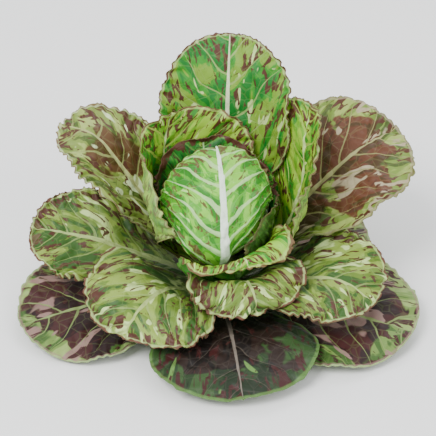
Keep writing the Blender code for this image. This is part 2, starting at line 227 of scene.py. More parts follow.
def smooth(x):
    """A soft step: 0 up to 0, then rising to 1 at 1."""
    x = np.clip(x, 0, 1)
    return x * x * (3 - 2 * x)


def leaf_profile(leaf):
    """The midrib in its upright plane: length along it, distance out, height, slope in radians, and how
    much the blade bends across to wrap round the upright axis, in 1/m."""
    if isinstance(leaf, HeartLeaf):
        turn = np.radians(np.linspace(1, leaf.reach, 4 * PROFILE_STEPS))
        half_height = np.where(np.cos(turn) > 0, HEART_DEPTH, HEART_HEIGHT)
        out = HEART_RADIUS * leaf.share * np.sin(turn)
        up = HEART_CENTRE - half_height * leaf.share * np.cos(turn)
        slope = np.unwrap(np.arctan2(half_height * np.sin(turn), HEART_RADIUS * np.cos(turn)))
        wrap = half_height / np.hypot(half_height * np.sin(turn), HEART_RADIUS * np.cos(turn))
        wrap = wrap / (HEART_RADIUS * leaf.share)
        touching = (out < stem_radius(up - RIB_DEPTH) + STEM_GAP) & (up < HEART_CENTRE)
        first = len(touching) - int(np.argmax(touching[::-1])) if touching.any() else 0
        out, up, slope, wrap = out[first:], up[first:], slope[first:], wrap[first:]
        along = np.concatenate([[0], np.cumsum(np.hypot(np.diff(out), np.diff(up)))])
        return along, out, up, slope, wrap
    along = np.linspace(0, leaf.length, PROFILE_STEPS)
    share = along / leaf.length
    slope = np.radians(np.interp(share, np.linspace(0, 1, len(leaf.pitch)), leaf.pitch))
    foot = stem_radius(leaf.seat) + STEM_GAP
    sideways = np.cos(slope) * along[1]
    upward = np.sin(slope) * along[1]
    if leaf.stand is not None:
        widest = round(leaf.widest * (PROFILE_STEPS - 1))
        sideways = sideways * (HEART_RADIUS + leaf.stand - foot) / sideways[:widest].sum()
        slope = np.unwrap(np.arctan2(upward, sideways))
        along = np.concatenate([[0], np.cumsum(np.hypot(sideways, upward)[:-1])])
    out = foot + np.concatenate([[0], np.cumsum(sideways[:-1])])
    up = leaf.seat + np.concatenate([[0], np.cumsum(upward[:-1])])
    return along, out, up, slope, np.sin(slope) / out


def flat_outline(leaf, length, base, across, row):
    """A place on the flat leaf, in metres from the midrib and from the stem, and the leaf's half width
    there. across runs from -1 to 1. row runs from -1 at the stem to 0 where the leaf is widest, and to 1
    at its tip. base is how far the leaf's foot is from the stem's axis."""
    widest = leaf.widest * length
    below = below_share(row)
    petiole = min(PETIOLE_HALF_WIDTH, leaf.half_width * PETIOLE_OF_BLADE, PETIOLE_OF_FOOT * base)
    widening = smooth((below - PETIOLE_SHARE) / (1 - PETIOLE_SHARE)) ** leaf.slender
    half_width = petiole + (leaf.half_width - petiole) * widening
    above = np.clip(row, 0, 1)
    sideways = across * np.sqrt(1 - above**2 / 2)
    forward = above * np.sqrt(1 - across**2 / 2)
    squarer = (np.abs(sideways) ** leaf.blunt + forward**leaf.blunt) ** (1 / leaf.blunt)
    squarer = np.hypot(sideways, forward) / np.maximum(squarer, 1e-9)
    squarer = np.where(above > 0, squarer, 1)
    forward = below * widest + forward * squarer * (length - widest)
    return sideways * squarer * half_width, forward, half_width


def leaf_sheet(leaf, across, row, frill=(0, 0)):
    """Points on the middle of the leaf, how far each is from the midrib, and its share of the length. frill
    moves the places on the flat leaf."""
    along, out, up, slope, wrap = leaf_profile(leaf)
    length = along[-1]
    base = out[0]
    x, y, half_width = flat_outline(leaf, length, base, across, row)
    x = x + frill[0]
    y = y + frill[1]
    foot = base / math.cos(slope[0])
    y = y - (foot - np.sqrt(np.maximum(foot**2 - x**2, 0))) * np.clip(1 - y / (2 * base), 0, 1)
    share = np.clip(y / length, 0, 1)
    lead = np.minimum(y, 0)
    r = np.interp(y, along, out) + lead * math.cos(slope[0])
    z = np.interp(y, along, up) + lead * math.sin(slope[0])
    pitch = np.interp(y, along, slope)
    bend = np.interp(y, along, wrap) + leaf.dish * smooth(share * 2)
    bend = np.where(np.abs(bend) < LEAST_BEND, LEAST_BEND, bend)
    bend = np.clip(bend, -MOST_TURN / half_width, MOST_TURN / half_width)
    turn = np.radians(leaf.azimuth + leaf.sweep * share**2)
    zero = np.zeros_like(r)
    outward = np.stack([np.cos(turn), np.sin(turn), zero], -1)
    side = np.stack([-np.sin(turn), np.cos(turn), zero], -1)
    face = -np.sin(pitch)[..., None] * outward + np.array([0, 0, 1]) * np.cos(pitch)[..., None]
    roll = np.radians(leaf.roll * smooth(share * 1.6))[..., None]
    side, face = side * np.cos(roll) + face * np.sin(roll), face * np.cos(roll) - side * np.sin(roll)
    sideways = (np.sin(bend * x) / bend)[..., None]
    rise = ((1 - np.cos(bend * x)) / bend)[..., None]
    points = outward * r[..., None] + np.array([0, 0, 1]) * z[..., None] + side * sideways + face * rise
    normal = face * np.cos(bend * x)[..., None] - side * np.sin(bend * x)[..., None]
    edge = np.maximum(np.abs(across), np.clip(row, 0, 1))
    wave = leaf.ripple * edge**3 * smooth(below_share(row) * 2 - 0.6)
    wave = wave * np.sin(2 * math.pi * leaf.waves * margin_place(across, row) + leaf.phase + across)
    points = points + normal * wave[..., None]
    lowest = FLOOR_GAP + BLADE / 2 + rib_depth(leaf, x, share)
    points[..., 2] = np.maximum(points[..., 2], lowest)
    return points, x, share


def sheet_normals(points):
    """The way the upper face looks at each grid point: the mean over the quads that meet there."""
    quads = np.cross(points[1:, :-1] - points[:-1, 1:], points[1:, 1:] - points[:-1, :-1])
    normals = np.zeros_like(points)
    for rows in (slice(0, -1), slice(1, None)):
        for columns in (slice(0, -1), slice(1, None)):
            normals[rows, columns] += quads
    return normals / np.linalg.norm(normals, axis=-1, keepdims=True)


def below_share(row):
    """How far up the lower part of the leaf a row is: 0 at the stem, 1 from the widest row on."""
    return np.clip(row + 1, 0, 1)


def margin_place(across, row):
    """How far along the margin the nearest place on it is, from 0 at the stem to 1 at the tip."""
    return TIP_START * (row + 1) / 2 + (1 - TIP_START) * (1 - np.abs(across))


def rib_depth(leaf, x, share):
    """How far the midrib stands out under the blade."""
    depth = RIB_DEPTH * (1 - smooth(share * 1.1)) * (1 if isinstance(leaf, Leaf) else HEART_RIB_SHARE)
    width = RIB_HALF_WIDTH * (1.2 - 0.8 * share)
    return depth * np.exp(-((x / width) ** 2))


def lift_heading(points, share):
    """The way a leaf is lifted: straight up at its foot, and along its upper face's normal further out."""
    free = smooth(3 * share - 0.2)[..., None]
    return sheet_normals(points) * free + np.array([0, 0, 1]) * (1 - free)


def leaf_skin(leaf, lift, extra=0.0):
    """The corners of the leaf's closed skin: the upper face and then the lower one, row by row."""
    across, row = leaf_grid()
    points, x, share = leaf_sheet(leaf, across, row)
    points = points + lift[..., None] * lift_heading(points, share)
    normal = sheet_normals(points)
    upper = points + normal * (BLADE / 2 + extra / 2)
    lower = points - normal * (BLADE / 2 + extra + rib_depth(leaf, x, share))[..., None]
    return np.concatenate([upper.reshape(-1, 3), lower.reshape(-1, 3)])


def leaf_grid():
    """The places a leaf is drawn at: across and row, as in flat_outline."""
    rows = np.concatenate([np.linspace(-1, 0, ROWS_BELOW + 1), np.linspace(0, 1, ROWS_ABOVE + 1)[1:]])
    return np.meshgrid(np.array(ACROSS, float), rows)


def leaf_faces():
    """The faces of a leaf's skin: both sides, and a strip round the edge. The quads are halved so that the
    corners of the tip, where a quad is nearly a triangle, don't fold."""
    rows, columns = ROWS_BELOW + ROWS_ABOVE + 1, len(ACROSS)
    under = rows * columns
    faces = []
    for i in range(rows - 1):
        for j in range(columns - 1):
            a = i * columns + j
            b = a + 1
            c = b + columns
            d = a + columns
            mirrored = i >= ROWS_BELOW and j < columns // 2
            halves = [(a, d, b), (b, d, c)] if mirrored else [(a, d, c), (a, c, b)]
            faces += halves
            faces += [(k + under, m + under, l + under) for k, l, m in halves]
    edge = list(range(columns))
    edge += [i * columns + columns - 1 for i in range(1, rows)]
    edge += [(rows - 1) * columns + j for j in range(columns - 2, -1, -1)]
    edge += [i * columns for i in range(rows - 2, 0, -1)]
    for a, b in zip(edge, edge[1:] + edge[:1]):
        faces += [(a, b, b + under), (a, b + under, a + under)]
    return faces


def lifted_clear(leaf, laid):
    """How far each grid point of the leaf is lifted, so that it lies clear of the skins already laid."""
    columns = len(ACROSS)
    rows = ROWS_BELOW + ROWS_ABOVE + 1
    lift = np.zeros((rows, columns))
    places = np.stack(np.meshgrid(np.arange(columns), np.arange(rows)), -1).reshape(-1, 2)
    faces = leaf_faces()
    for _ in range(MOST_LIFTS):
        skin = BVHTree.FromPolygons(leaf_skin(leaf, lift, LEAF_GAP).tolist(), faces)
        hits = {pair[0] for other in laid for pair in skin.overlap(other)}
        if not hits:
            break
        touched = places[sorted({corner % (rows * columns) for face in hits for corner in faces[face]})]
        apart = ((places[:, None, :] - touched[None, :, :]) ** 2).sum(-1)
        lift += LIFT_STEP * np.exp(-apart / (2 * LIFT_SPREAD**2)).max(1).reshape(rows, columns)
    return lift


# The fine leaf: how many places across and along it, fewer on a leaf that is hidden, and every how many
# of them the room round it is measured.
FINE_ACROSS = 121
FINE_BELOW = 90
FINE_ABOVE = 60
HIDDEN_ACROSS = 61
HIDDEN_BELOW = 45
HIDDEN_ABOVE = 30
SKIP = 5

# The fine leaf: how thick it is, thinning to FINE_MARGIN over THINNING at its edge, and the part of the
# gap to its neighbours that it may stray into.
FINE_BLADE = 0.8 * MM
FINE_MARGIN = 0.45 * MM
THINNING = 3 * MM
ROOM_SHARE = 0.4
ROOM_SPARE = 0.9 * MM
ROOM_LEAST = 0.12 * MM

# The fine leaf where it meets another one or itself: how much of the way back to the plain sheet each
# round takes it, over how many places that fades, and how many places apart two parts of one leaf are
# before they count as meeting.
HOLD = 0.5
HOLD_SPREAD = 4
LEAST_FOLD = 6
MOST_ROUNDS = 10

# The fine leaf: its margin's lobes and waves, its creases, the groove over its midrib and its side veins.
# The sizes of the noise are lengths on the flat leaf.
LOBES = 24
SMALL_LOBES = 57
LOBE_DRIFT = 2.6
WAVE_LENGTH = 17 * MM
WAVE_REACH = 9 * MM
WAVE_NOISE = 50 * MM
BLISTER_NOISE = 30 * MM
LARGE_CREASE = 1.1 * MM
LARGE_CREASE_NOISE = 45 * MM
SMALL_CREASE = 0.32 * MM
SMALL_CREASE_NOISE = 10 * MM
GROOVE_DEPTH = 0.7 * MM
GROOVE_WIDTH = 1.3
VEIN_RIDGE = 0.6 * MM
VEIN_SPARE = 0.4 * MM
VEIN_FADE = 20 * MM
VEIN_SLANT = 0.75
MIDRIB_LEAST = 0.25 * MM

# Colour: the power that makes every colour richer, and the green of the painted shade on each leaf's foot,
# for the shade deep between the leaves.
RICHNESS = 1.22
PAINTED_SHADE_GREEN = "#1d3516"

# The leaves' finish: the size across the leaf of its tones, stain, pale patches, specks, net of fine
# veins, worn edges and grain.
TONE_SIZE = 15 * MM
STAIN_SIZE = 30 * MM
PALE_SIZE = 9.5 * MM
SPECK_SIZE = 5 * MM
NET_SIZE = 9 * MM
VEIN_WEAR_SIZE = 5 * MM
RIM_WEAR_SIZE = 6 * MM
GRAIN_SIZE = 2.2 * MM
GRAIN_HEIGHT = 0.7 * MM

# The stem's finish: how finely it is drawn, how deep its ridges are, its fibres and blots, and its colours.
STEM_SIDES = 96
STEM_RINGS = 60
STEM_RIDGE = 0.25 * MM
FIBRE_SIZE = 1.6 * MM
FIBRE_LENGTH = 12 * MM
FIBRE_HEIGHT = 0.6 * MM
BLOT_SIZE = 8 * MM
STEM_DARK = "#b9bd86"
STEM_PALE = "#dcdfb6"
STEM_CUT = "#8a6238"


@dataclass(frozen=True)
class Look:
    """How a leaf is coloured and crinkled. The colours are the blade's darkest, middle, light and palest
    patches, the specks, the side veins, the midrib, the line along the margin, and the two tones of the
    stain that spreads from the midrib. specks, pale_share and stain_share say how much of each there is.
    inner_tone is how much lighter the blade is beside the midrib. painted_shade is how dark the painted shade
    on the foot is, for the shade deep between the leaves, and painted_shade_from how far up that reaches.
    under is the tint of the underside, a dark painted shade on the fold, and under_share its strength.
    ruffle and scallop are the depth of the margin's waves and lobes, pucker is the height of the blisters,
    and rib is the midrib's half width at the foot. vein_width is a side vein's share of that width,
    vein_gap the space between side veins as a share of the leaf's length, and vein_show how pale they
    are. patch is the size of the patches, 1 for the usual."""

    dark: str
    mid: str
    light: str
    pale: str
    speck: str
    vein: str
    midrib: str
    rim: str
    stain_dark: str = "#482f2a"
    stain: str = "#5d3a30"
    specks: float = 0.5
    pale_share: float = 0.3
    stain_share: float = 0.0
    inner_tone: float = -0.05
    patch: float = 1.0
    painted_shade: float = 0.3
    painted_shade_from: float = 0.6
    under: str = "#8fa56c"
    under_share: float = 0.4
    rim_width: float = 1.0
    ruffle: float = 2.0 * MM
    scallop: float = 0.9 * MM
    pucker: float = 1.2 * MM
    rib: float = 3.0 * MM
    vein_width: float = 0.42
    vein_gap: float = 0.14
    vein_show: float = 0.85


LOOKS = {
    "heart": Look("#2f8a1a", "#5fae28", "#90cf4a", "#bce68c", "#6d5a34", "#b9de9a", "#ecf8e6", "#6d5a34",
                  specks=0.55, pale_share=0.16, inner_tone=0.05, painted_shade=0.1, under_share=0.05,
                  ruffle=1.0 * MM, scallop=0.8 * MM, rib=4.2 * MM, vein_width=0.52, vein_gap=0.125),
    "cup": Look("#206a2c", "#348638", "#58a040", "#93b552", "#5a3a2a", "#6c9c4e", "#b4cc98", "#63402f",
                specks=0.4, pale_share=0.14, painted_shade=0.35, rim_width=4.0, ruffle=1.6 * MM),
    "tall": Look("#1f8032", "#43962f", "#84a63c", "#c0d38f", "#5f3c2c", "#9ab06a", "#d8dfba", "#6a4a38",
                 specks=0.62, pale_share=0.3, inner_tone=-0.09, painted_shade=0.12, rib=3.4 * MM),
    "lime": Look("#3c8c2c", "#7bb030", "#a0c444", "#c6da84", "#63412a", "#a8bd5a", "#c4d692", "#7a6344",
                 specks=0.68, pale_share=0.2, painted_shade=0.28),
    "olive": Look("#43682a", "#738d3a", "#95ab52", "#c8dc96", "#5f3d2f", "#a0b370", "#b1c17f", "#75523f",
                  specks=0.66, pale_share=0.36, patch=1.35, painted_shade=0.8, painted_shade_from=0.78, ruffle=2.6 * MM,
                  vein_show=0.6),
    # The fold's underside tint is a dark green: painted shade, for the shadow under its curled-out lip.
    "fold": Look("#3f9428", "#7ab432", "#9cc846", "#c6da84", "#63412a", "#a8bd5a", "#c4d692", "#7a6344",
                 specks=0.7, pale_share=0.15, painted_shade=0.15, under="#438a30", under_share=0.8),
    "brown": Look("#55662b", "#7f9644", "#a3b264", "#b3a78c", "#5f3c28", "#9c9a68", "#aaa878", "#8b8a5c",
                  stain_dark="#54401c", stain="#6d452c", specks=0.45, pale_share=0.3, stain_share=0.5,
                  patch=1.3, painted_shade=0.5, painted_shade_from=0.7),
    "bronze": Look("#5a6e30", "#879a4c", "#a9b86c", "#cfdcae", "#5f3c2c", "#9ca468", "#b4b880", "#8b7a56",
                   stain_dark="#5c4a20", stain="#6b5030", specks=0.62, pale_share=0.34, stain_share=0.22,
                   patch=1.4, painted_shade=0.5),
    "maroon": Look("#4d6b33", "#7a9450", "#98ad68", "#9a7f77", "#4d2a28", "#8a9c62", "#93a46c", "#9fb27c",
                   stain_dark="#331a19", stain="#4e2a28", specks=0.4, pale_share=0.34, stain_share=0.7,
                   patch=1.9, painted_shade=0.55, ruffle=0.7 * MM, scallop=0.1 * MM, vein_gap=0.17),
    # The front ground leaf's look is much darker than the other ground leaves': partly its own dark maroon
    # and green, partly painted shade for the shadow under the leaves above it.
    "shaded": Look("#213319", "#2f4626", "#405c32", "#6f9450", "#4b2624", "#6d6459", "#857c72", "#64854a",
                   stain_dark="#201712", stain="#35261f", specks=0.45, pale_share=0.0, stain_share=0.45,
                   patch=1.6, painted_shade=0.8, ruffle=0.7 * MM, scallop=0.1 * MM, vein_gap=0.21,
                   vein_show=0.55, vein_width=0.3, rib=2.0 * MM),
}


def look_name(leaf):
    """Which look a leaf has, by its name."""
    special = {
        "ground_leaf_front": "shaded",
        "spread_leaf_back_right": "brown",
        "spread_leaf_back_left": "bronze",
        "upright_leaf_back": "tall",
        "upright_leaf_front": "fold",
    }
    by_kind = {"ground": "maroon", "spread": "olive", "upright": "lime", "cup": "cup"}
    return special.get(leaf.name, by_kind.get(leaf.name.split("_")[0], "heart"))


def colour(text, richness=RICHNESS):
    """A colour written as #rrggbb, as linear red, green, blue and alpha, made richer by a power."""
    parts = [int(text[i : i + 2], 16) / 255 for i in (1, 3, 5)]
    linear = [c / 12.92 if c <= 0.04045 else ((c + 0.055) / 1.055) ** 2.4 for c in parts]
    return (*[c**richness for c in linear], 1)


def swell(seed, x, y, size, count=9):
    """Smooth noise of about -1 to 1: plane waves of random heading whose length is about size."""
    draws = np.random.default_rng(seed)
    total = np.zeros_like(x)
    for _ in range(count):
        heading, phase = draws.uniform(0, 2 * math.pi, 2)
        turn = 2 * math.pi / (size * draws.uniform(0.7, 1.4))
        total += np.sin((x * math.cos(heading) + y * math.sin(heading)) * turn + phase)
    return total / math.sqrt(count / 2) / 1.6


def cubic_weights(count, places):
    """How much each of count evenly spaced values adds to a smooth curve through them, at each place."""
    place = np.clip(places, 0, 1) * (count - 1)
    left = np.minimum(place.astype(int), count - 2)
    t = place - left
    weights = np.zeros((len(places), count))
    terms = (-0.5 * t + t**2 - 0.5 * t**3, 1 - 2.5 * t**2 + 1.5 * t**3,
             0.5 * t + 2 * t**2 - 1.5 * t**3, -0.5 * t**2 + 0.5 * t**3)
    for k, term in enumerate(terms):
        np.add.at(weights, (np.arange(len(places)), np.clip(left + k - 1, 0, count - 1)), term)
    return weights


def linear_weights(count, places):
    """How much each of count evenly spaced values adds to straight lines between them, at each place."""
    place = np.clip(places, 0, 1)[:, None] * (count - 1)
    return np.maximum(0, 1 - np.abs(place - np.arange(count)))


def is_hidden(leaf):
    """Whether a leaf lies inside the closed heart."""
    return leaf.name.startswith(("inner", "bud")) or leaf.name in ("heart_leaf_back", "heart_leaf_left")


def fine_rows(leaf):
    """The fine leaf's places across and along it, numbered as in flat_outline."""
    columns, below, above = FINE_ACROSS, FINE_BELOW, FINE_ABOVE
    if is_hidden(leaf):
        columns, below, above = HIDDEN_ACROSS, HIDDEN_BELOW, HIDDEN_ABOVE
    rows = np.concatenate([np.linspace(-1, 0, below + 1), np.linspace(0, 1, above + 1)[1:]])
    return np.linspace(-1, 1, columns), rows


def grid_places(columns, rows):
    """Where the fine leaf's rows and columns lie on the plain sheet's grid, from 0 to 1."""
    row_place = np.where(rows < 0, (rows + 1) * ROWS_BELOW, ROWS_BELOW + rows * ROWS_ABOVE)
    column_place = np.interp(columns, ACROSS, np.arange(len(ACROSS)))
    return row_place / (ROWS_BELOW + ROWS_ABOVE), column_place / (len(ACROSS) - 1)


def fine_lift(lift, columns, rows):
    """The lift of the plain sheet's grid, as a smooth field over the fine one."""
    row_place, column_place = grid_places(columns, rows)
    return cubic_weights(lift.shape[0], row_place) @ lift @ cubic_weights(lift.shape[1], column_place).T


def plain_middle(leaf, lift, columns, rows):
    """The plain sheet at the fine leaf's places: straight between its grid points, as in the CAD model."""
    across, row = leaf_grid()
    points, _, share = leaf_sheet(leaf, across, row)
    points = points + lift[..., None] * lift_heading(points, share)
    row_place, column_place = grid_places(columns, rows)
    down, over = linear_weights(lift.shape[0], row_place), linear_weights(lift.shape[1], column_place)
    return np.einsum("ri,ijk,cj->rck", down, points, over)


@dataclass
class Blade:
    """A fine leaf while it is being shaped: its grid, its flat coordinates and its fields."""

    leaf: object
    look: Look
    seed: int
    columns: np.ndarray
    rows: np.ndarray
    points: np.ndarray
    plain: np.ndarray
    x: np.ndarray
    y: np.ndarray
    share: np.ndarray
    edge: np.ndarray
    margin: np.ndarray
    length: float


def margin_distance(leaf, length, across, row, half_width):
    """How far a place is from the leaf's margin, in metres."""
    above = np.clip(row, 0, 1)
    sideways = across * np.sqrt(1 - above**2 / 2)
    forward = above * np.sqrt(1 - across**2 / 2)
    radius = np.hypot(sideways, forward)
    towards_tip = forward / np.maximum(radius, 1e-6)
    size = half_width * (1 - towards_tip) + (1 - leaf.widest) * length * towards_tip
    return np.maximum(1 - radius, 0) * size


def scallops(look, seed, margin, across, row):
    """How far the margin reaches beyond its plain outline: round lobes of uneven size."""
    along = margin * 2.2 + 0.13 * across
    drift = LOBE_DRIFT * swell(seed, along, along * 0, 0.35, 7)
    lobes = np.sin(along * math.pi * LOBES + drift)
    small = np.sin(along * math.pi * SMALL_LOBES - 1.7 * drift + seed)
    strength = 0.65 + 0.35 * swell(seed + 9, along, along * 0, 0.22, 7)
    grown = smooth((below_share(row) - 0.25) * 2)
    edge = np.maximum(np.abs(across), np.clip(row, 0, 1)) ** 14
    return look.scallop * strength * (0.65 * lobes + 0.28 * small) * grown * edge


def make_blade(leaf, lift, seed):
    """The fine leaf before its surface is crinkled."""
    look = LOOKS[look_name(leaf)]
    columns, rows = fine_rows(leaf)
    across, row = np.meshgrid(columns, rows)
    along, out, *_ = leaf_profile(leaf)
    length = along[-1]
    x, y, half_width = flat_outline(leaf, length, out[0], across, row)
    margin = margin_place(across, row)
    reach = scallops(look, seed, margin, across, row)
    middle = min(leaf.widest, 0.6) * length
    away = np.stack([x, np.maximum(y - middle, 0)])
    frill = reach * away / np.maximum(np.hypot(*away), 1e-6)
    points, x, share = leaf_sheet(leaf, across, row, frill)
    raised = fine_lift(lift, columns, rows)[..., None]
    points = points + raised * lift_heading(points, share)
    edge = margin_distance(leaf, length, across, row, half_width)
    plain = plain_middle(leaf, lift, columns, rows)
    return Blade(leaf, look, seed, columns, rows, points, plain, x, y + frill[1], share, edge, margin, length)


def skin_tree(blades):
    """A tree of the middles of several leaves, to measure distances from."""
    corners, faces = [], []
    for blade in blades:
        some = blade.points[::SKIP, ::SKIP]
        rows, columns = some.shape[:2]
        number = np.arange(rows * columns).reshape(rows, columns) + sum(len(c) for c in corners)
        quads = np.stack([number[:-1, :-1], number[:-1, 1:], number[1:, 1:], number[1:, :-1]], -1)
        corners.append(some.reshape(-1, 3))
        faces.append(quads.reshape(-1, 4))
    return BVHTree.FromPolygons(np.concatenate(corners).tolist(), np.concatenate(faces).tolist())


def room_round(blade, blades):
    """How far each place of a leaf may stray without meeting another leaf that does the same."""
    tree = skin_tree([other for other in blades if other is not blade])
    some = blade.points[::SKIP, ::SKIP]
    far = np.array([tree.find_nearest(Vector(p))[3] for p in some.reshape(-1, 3)]).reshape(some.shape[:2])
    down = linear_weights(far.shape[0], np.linspace(0, 1, len(blade.rows)))
    over = linear_weights(far.shape[1], np.linspace(0, 1, len(blade.columns)))
    return np.maximum(ROOM_SHARE * (down @ far @ over.T - ROOM_SPARE), ROOM_LEAST)


def vein_turn(blade):
    """Side veins as a phase that grows by one from each vein to the next, up the leaf."""
    spacing = blade.look.vein_gap * blade.length
    out = np.abs(blade.x)
    half_width = blade.leaf.half_width
    climb = out * (0.62 + 0.55 * out / half_width)
    wander = 0.16 * swell(blade.seed + 7, blade.x, blade.y, 0.04)
    return (blade.y - climb) / spacing + wander + np.where(blade.x < 0, 0.5, 0)


def vein_half_width(blade):
    """The side veins' half width, which shrinks towards the margin and the tip."""
    out = np.abs(blade.x) / blade.leaf.half_width
    return blade.look.rib * blade.look.vein_width * (1 - 0.88 * smooth(out * 1.15)) * (1 - 0.5 * blade.share)


def midrib_half_width(blade):
    """The midrib's half width, which shrinks towards the tip."""
    return blade.look.rib * (1 - blade.share) ** 0.8 + MIDRIB_LEAST


def vein_spacing(blade):
    """How far apart the side veins are, measured across them."""
    return blade.look.vein_gap * blade.length * VEIN_SLANT


def crinkle(blade):
    """How far each place strays from the plain sheet: waves of the margin, blisters and small creases."""
    look, x, y = blade.look, blade.x, blade.y
    grown = smooth(blade.share * 2.2 - 0.15)
    wave_place = blade.margin * 2.1 * blade.length
    turn = 2 * math.pi * wave_place / WAVE_LENGTH + 2.4 * swell(blade.seed + 1, x, y, WAVE_NOISE)
    wave = np.sin(turn + x / blade.leaf.half_width * 2)
    wave = wave * (0.65 + 0.35 * swell(blade.seed + 2, x, y, WAVE_NOISE)) * np.exp(-blade.edge / WAVE_REACH)
    between = np.abs(np.sin(math.pi * vein_turn(blade))) ** 0.8 * 2 - 1
    blister = between * (0.75 + 0.25 * swell(blade.seed + 3, x, y, BLISTER_NOISE)) / 2
    large = LARGE_CREASE * swell(blade.seed + 4, x, y, LARGE_CREASE_NOISE)
    small = SMALL_CREASE * swell(blade.seed + 5, x, y, SMALL_CREASE_NOISE, 14)
    groove = -GROOVE_DEPTH * np.exp(-((x / (GROOVE_WIDTH * midrib_half_width(blade))) ** 2))
    return grown * (look.ruffle * wave + look.pucker * blister + large + small) + groove


def vein_ridge(blade):
    """How far the side veins stand out under the blade."""
    turn = vein_turn(blade)
    apart = np.abs(turn - np.round(turn)) * vein_spacing(blade)
    width = vein_half_width(blade) + VEIN_SPARE
    grown = smooth(blade.share * 3 - 0.2)
    return VEIN_RIDGE * np.exp(-((apart / width) ** 2)) * grown * smooth(blade.edge / VEIN_FADE)


def strip_faces(rows, columns):
    """The faces of a closed leaf: its upper side, its lower side and the strip round its margin."""
    number = np.arange(rows * columns).reshape(rows, columns)
    a, b, c, d = number[:-1, :-1], number[:-1, 1:], number[1:, 1:], number[1:, :-1]
    upper = np.stack([a, d, c, b], -1).reshape(-1, 4)
    lower = np.stack([a, b, c, d], -1).reshape(-1, 4) + rows * columns
    ring = np.concatenate([number[0], number[1:, -1], number[-1, -2::-1], number[-2:0:-1, 0]])
    following = np.roll(ring, -1)
    under = rows * columns
    rim = np.stack([ring, following, following + under, ring + under], -1)
    return upper, lower, rim


def bake_map(rows, columns, rim_count):
    """Where each face corner lies on the flat map: both sides next to each other, the rim above them."""
    across, up = np.meshgrid(np.linspace(0, 1, columns), np.linspace(0, 1, rows))
    left = np.stack([0.005 + 0.485 * across, 0.005 + 0.96 * up], -1).reshape(-1, 2)
    right = left + [0.505, 0]
    both = np.concatenate([left, right])
    start = np.arange(rim_count) / rim_count * 0.99 + 0.005
    end = start + 0.99 / rim_count
    low, high = np.full(rim_count, 0.975), np.full(rim_count, 0.995)
    rim = np.stack([np.stack([start, low], -1), np.stack([end, low], -1),
                    np.stack([end, high], -1), np.stack([start, high], -1)], 1)
    return both, rim


def add_object(name, data):
    """A new object in the scene."""
    made = bpy.data.objects.new(name, data)
    bpy.context.scene.collection.objects.link(made)
    return made


def mesh_object(name, corners, faces, uv):
    """A smooth mesh of quads with its flat map."""
    mesh = bpy.data.meshes.new(name)
    mesh.vertices.add(len(corners))
    mesh.vertices.foreach_set("co", corners.astype(np.float32).ravel())
    mesh.loops.add(faces.size)
    mesh.loops.foreach_set("vertex_index", faces.astype(np.int32).ravel())
    mesh.polygons.add(len(faces))
    mesh.polygons.foreach_set("loop_start", np.arange(0, faces.size, 4, dtype=np.int32))
    mesh.update(calc_edges=True)
    layer = mesh.uv_layers.new(name="OFBake")
    layer.data.foreach_set("uv", uv.astype(np.float32).ravel())
    mesh.shade_smooth()
    return add_object(name, mesh)


def add_field(made, name, values):
    """Stores a vector at each corner of the mesh, for the materials."""
    field = made.data.attributes.new(name, "FLOAT_VECTOR", "POINT")
    field.data.foreach_set("vector", values.astype(np.float32).ravel())


def blade_skin(blade, stray, held):
    """The corners of the finished leaf, its upper face and then its lower one. stray is how far each place
    is from the sheet. held is how far it is drawn back to the plain sheet, from 0 to 1."""
    middle = blade.points + sheet_normals(blade.points) * stray[..., None]
    middle = middle + (blade.plain - middle) * held[..., None]
    lowest = FLOOR_GAP + FINE_BLADE / 2 + rib_depth(blade.leaf, blade.x, blade.share)
    middle[..., 2] = np.maximum(middle[..., 2], lowest)
    normal = sheet_normals(middle)
    half = FINE_MARGIN / 2 + (FINE_BLADE - FINE_MARGIN) / 2 * smooth(blade.edge / THINNING)
    depth = half + rib_depth(blade.leaf, blade.x, blade.share) + vein_ridge(blade) * (1 - held)
    upper = middle + normal * half[..., None]
    lower = middle - normal * depth[..., None]
    return np.concatenate([upper.reshape(-1, 3), lower.reshape(-1, 3)])


def spread_weights(count):
    """How much each of count rows moves when another one does."""
    places = np.arange(count)
    return np.exp(-((places[:, None] - places) ** 2) / (2 * HOLD_SPREAD**2))


def hold_back(held, faces, hits):
    """held, raised round the faces that meet another leaf or a far part of their own."""
    rows, columns = held.shape
    met = np.zeros(rows * columns)
    met[faces[sorted(hits)].ravel() % (rows * columns)] = 1
    round_them = spread_weights(rows) @ met.reshape(rows, columns) @ spread_weights(columns)
    return np.minimum(held + HOLD * np.minimum(round_them, 1), 1)


def folded_faces(skin, faces, shape):
    """The faces where a leaf passes through itself, other than the small pleats of its margin."""
    pairs = np.array(skin.overlap(skin), int).reshape(-1, 2)
    corner = faces[:, 0] % (shape[0] * shape[1])
    place = np.stack([corner // shape[1], corner % shape[1]], -1)
    apart = np.abs(place[pairs[:, 0]] - place[pairs[:, 1]]).max(1)
    return set(pairs[apart > LEAST_FOLD].ravel().tolist())


def finished_skins(blades):
    """The corners of every finished leaf. Where two leaves would meet, or one would fold through itself,
    they are drawn back to their plain sheets, which lie clear."""
    strays, held, faces = [], [], []
    for blade in blades:
        room = room_round(blade, blades)
        strays.append(room * np.tanh(crinkle(blade) / room))
        held.append(np.zeros_like(blade.x))
        faces.append(np.concatenate(strip_faces(*blade.x.shape)))
    corners, skins = {}, {}
    changed = set(range(len(blades)))
    for _ in range(MOST_ROUNDS):
        for k in changed:
            corners[k] = blade_skin(blades[k], strays[k], held[k])
            skins[k] = BVHTree.FromPolygons(corners[k].tolist(), faces[k].tolist())
        hits = {k: folded_faces(skins[k], faces[k], held[k].shape) for k in changed}
        for a, b in itertools.combinations(range(len(blades)), 2):
            for face, other in skins[a].overlap(skins[b]):
                hits.setdefault(a, set()).add(face)
                hits.setdefault(b, set()).add(other)
        changed = {k for k, met in hits.items() if met}
        for k in changed:
            held[k] = hold_back(held[k], faces[k], hits[k])
    return [corners[k] for k in range(len(blades))]


